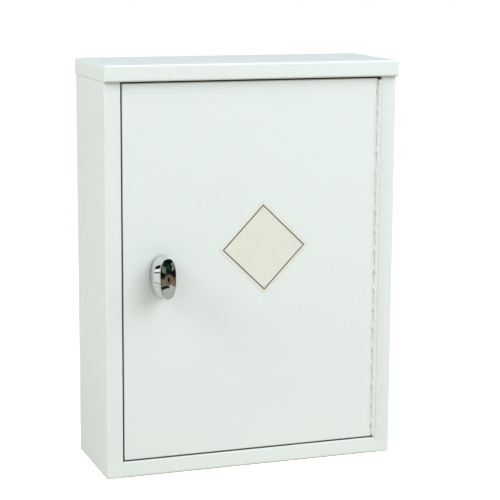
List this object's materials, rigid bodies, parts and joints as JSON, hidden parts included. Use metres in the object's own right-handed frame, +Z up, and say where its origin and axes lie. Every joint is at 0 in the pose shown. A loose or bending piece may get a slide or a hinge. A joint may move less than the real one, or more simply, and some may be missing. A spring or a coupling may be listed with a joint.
{
  "type": "lockable medicine cabinet",
  "caption": "Shallow sheet-steel wall cabinet with a piano-hinged door, a turning lock handle that drives a latch tongue and two locking rods, and adjustable shelves.",
  "frame": {"origin": "centre of the body's underside, midway between the side walls and between the front face and the back", "axes": "+X to the right seen from the front, front faces -Y, +Y to the wall, +Z up"},
  "size_m": [0.357, 0.161, 0.478],
  "materials": {
    "body_paint": "semi-gloss white powder coat, faintly green",
    "door_paint": "semi-gloss white powder coat, faintly green",
    "hinge_paint": "white paint over rolled knuckles",
    "zinc_steel": "bright zinc-plated steel",
    "hinge_steel": "drawn steel wire",
    "chrome": "polished chrome on die-cast zinc",
    "plug_metal": "warm nickel-plated brass",
    "rubber": "black rubber"
  },
  "bodies": {
    "cabinet": {"side_panel_left": "body_paint", "side_panel_right": "body_paint", "back_panel": "body_paint", "base_panel": "body_paint", "header_rail": "body_paint", "top_cap": "body_paint", "strips_left": "body_paint", "strips_right": "body_paint", "shelf_clips": "zinc_steel", "lower_shelf": "body_paint", "upper_shelf": "body_paint", "bottom_stop": "body_paint", "header_stop": "body_paint", "door_buffers": "rubber", "hinge_frame_leaf": "hinge_paint", "hinge_pin": "hinge_steel"},
    "door": {"door_pan": "door_paint", "door_stiffener": "door_paint", "hinge_door_leaf": "hinge_paint", "rod_guides": "door_paint", "lock_bush": "chrome", "lock_washer": "zinc_steel", "lock_nut": "zinc_steel"},
    "handle": {"turn_handle": "chrome", "drive_plate": "zinc_steel", "latch_spacer": "zinc_steel", "latch_tongue": "zinc_steel", "latch_washer": "zinc_steel", "latch_screw": "zinc_steel"},
    "plug": {"key_plug": "plug_metal"},
    "bolt": {"locking_bolt": "zinc_steel"},
    "lower_lock_rod": {"lower_rod": "zinc_steel"},
    "upper_lock_rod": {"upper_rod": "zinc_steel"}
  },
  "joints": [
    {"name": "door_hinge", "type": "hinge", "parent": "cabinet", "child": "door", "pos_m": [0.1561, -0.066, 0.239], "axis": [0, 0, 1], "range_deg": [0, 175]},
    {"name": "handle_turn", "type": "hinge", "parent": "door", "child": "handle", "pos_m": [-0.112, -0.065, 0.2377], "axis": [0, -1, 0], "range_deg": [0, 90]},
    {"name": "key_turn", "type": "hinge", "parent": "handle", "child": "plug", "pos_m": [-0.112, -0.065, 0.2377], "axis": [0, 1, 0], "range_deg": [0, 90]},
    {"name": "bolt_slide", "type": "slide", "parent": "handle", "child": "bolt", "axis": [1, 0, 0], "range_m": [0, 0.00184]},
    {"name": "lower_rod_slide", "type": "slide", "parent": "door", "child": "lower_lock_rod", "axis": [0, 0, -1], "range_m": [0, 0.01274]},
    {"name": "upper_rod_slide", "type": "slide", "parent": "door", "child": "upper_lock_rod", "axis": [0, 0, 1], "range_m": [0, 0.01274]}
  ],
  "couplings": [
    {"joint": "bolt_slide", "follows": "key_turn", "m_per_rad": 0.0011704},
    {"joint": "lower_rod_slide", "follows": "handle_turn", "m_per_rad": 0.0081028},
    {"joint": "upper_rod_slide", "follows": "handle_turn", "m_per_rad": 0.0081028}
  ]
}
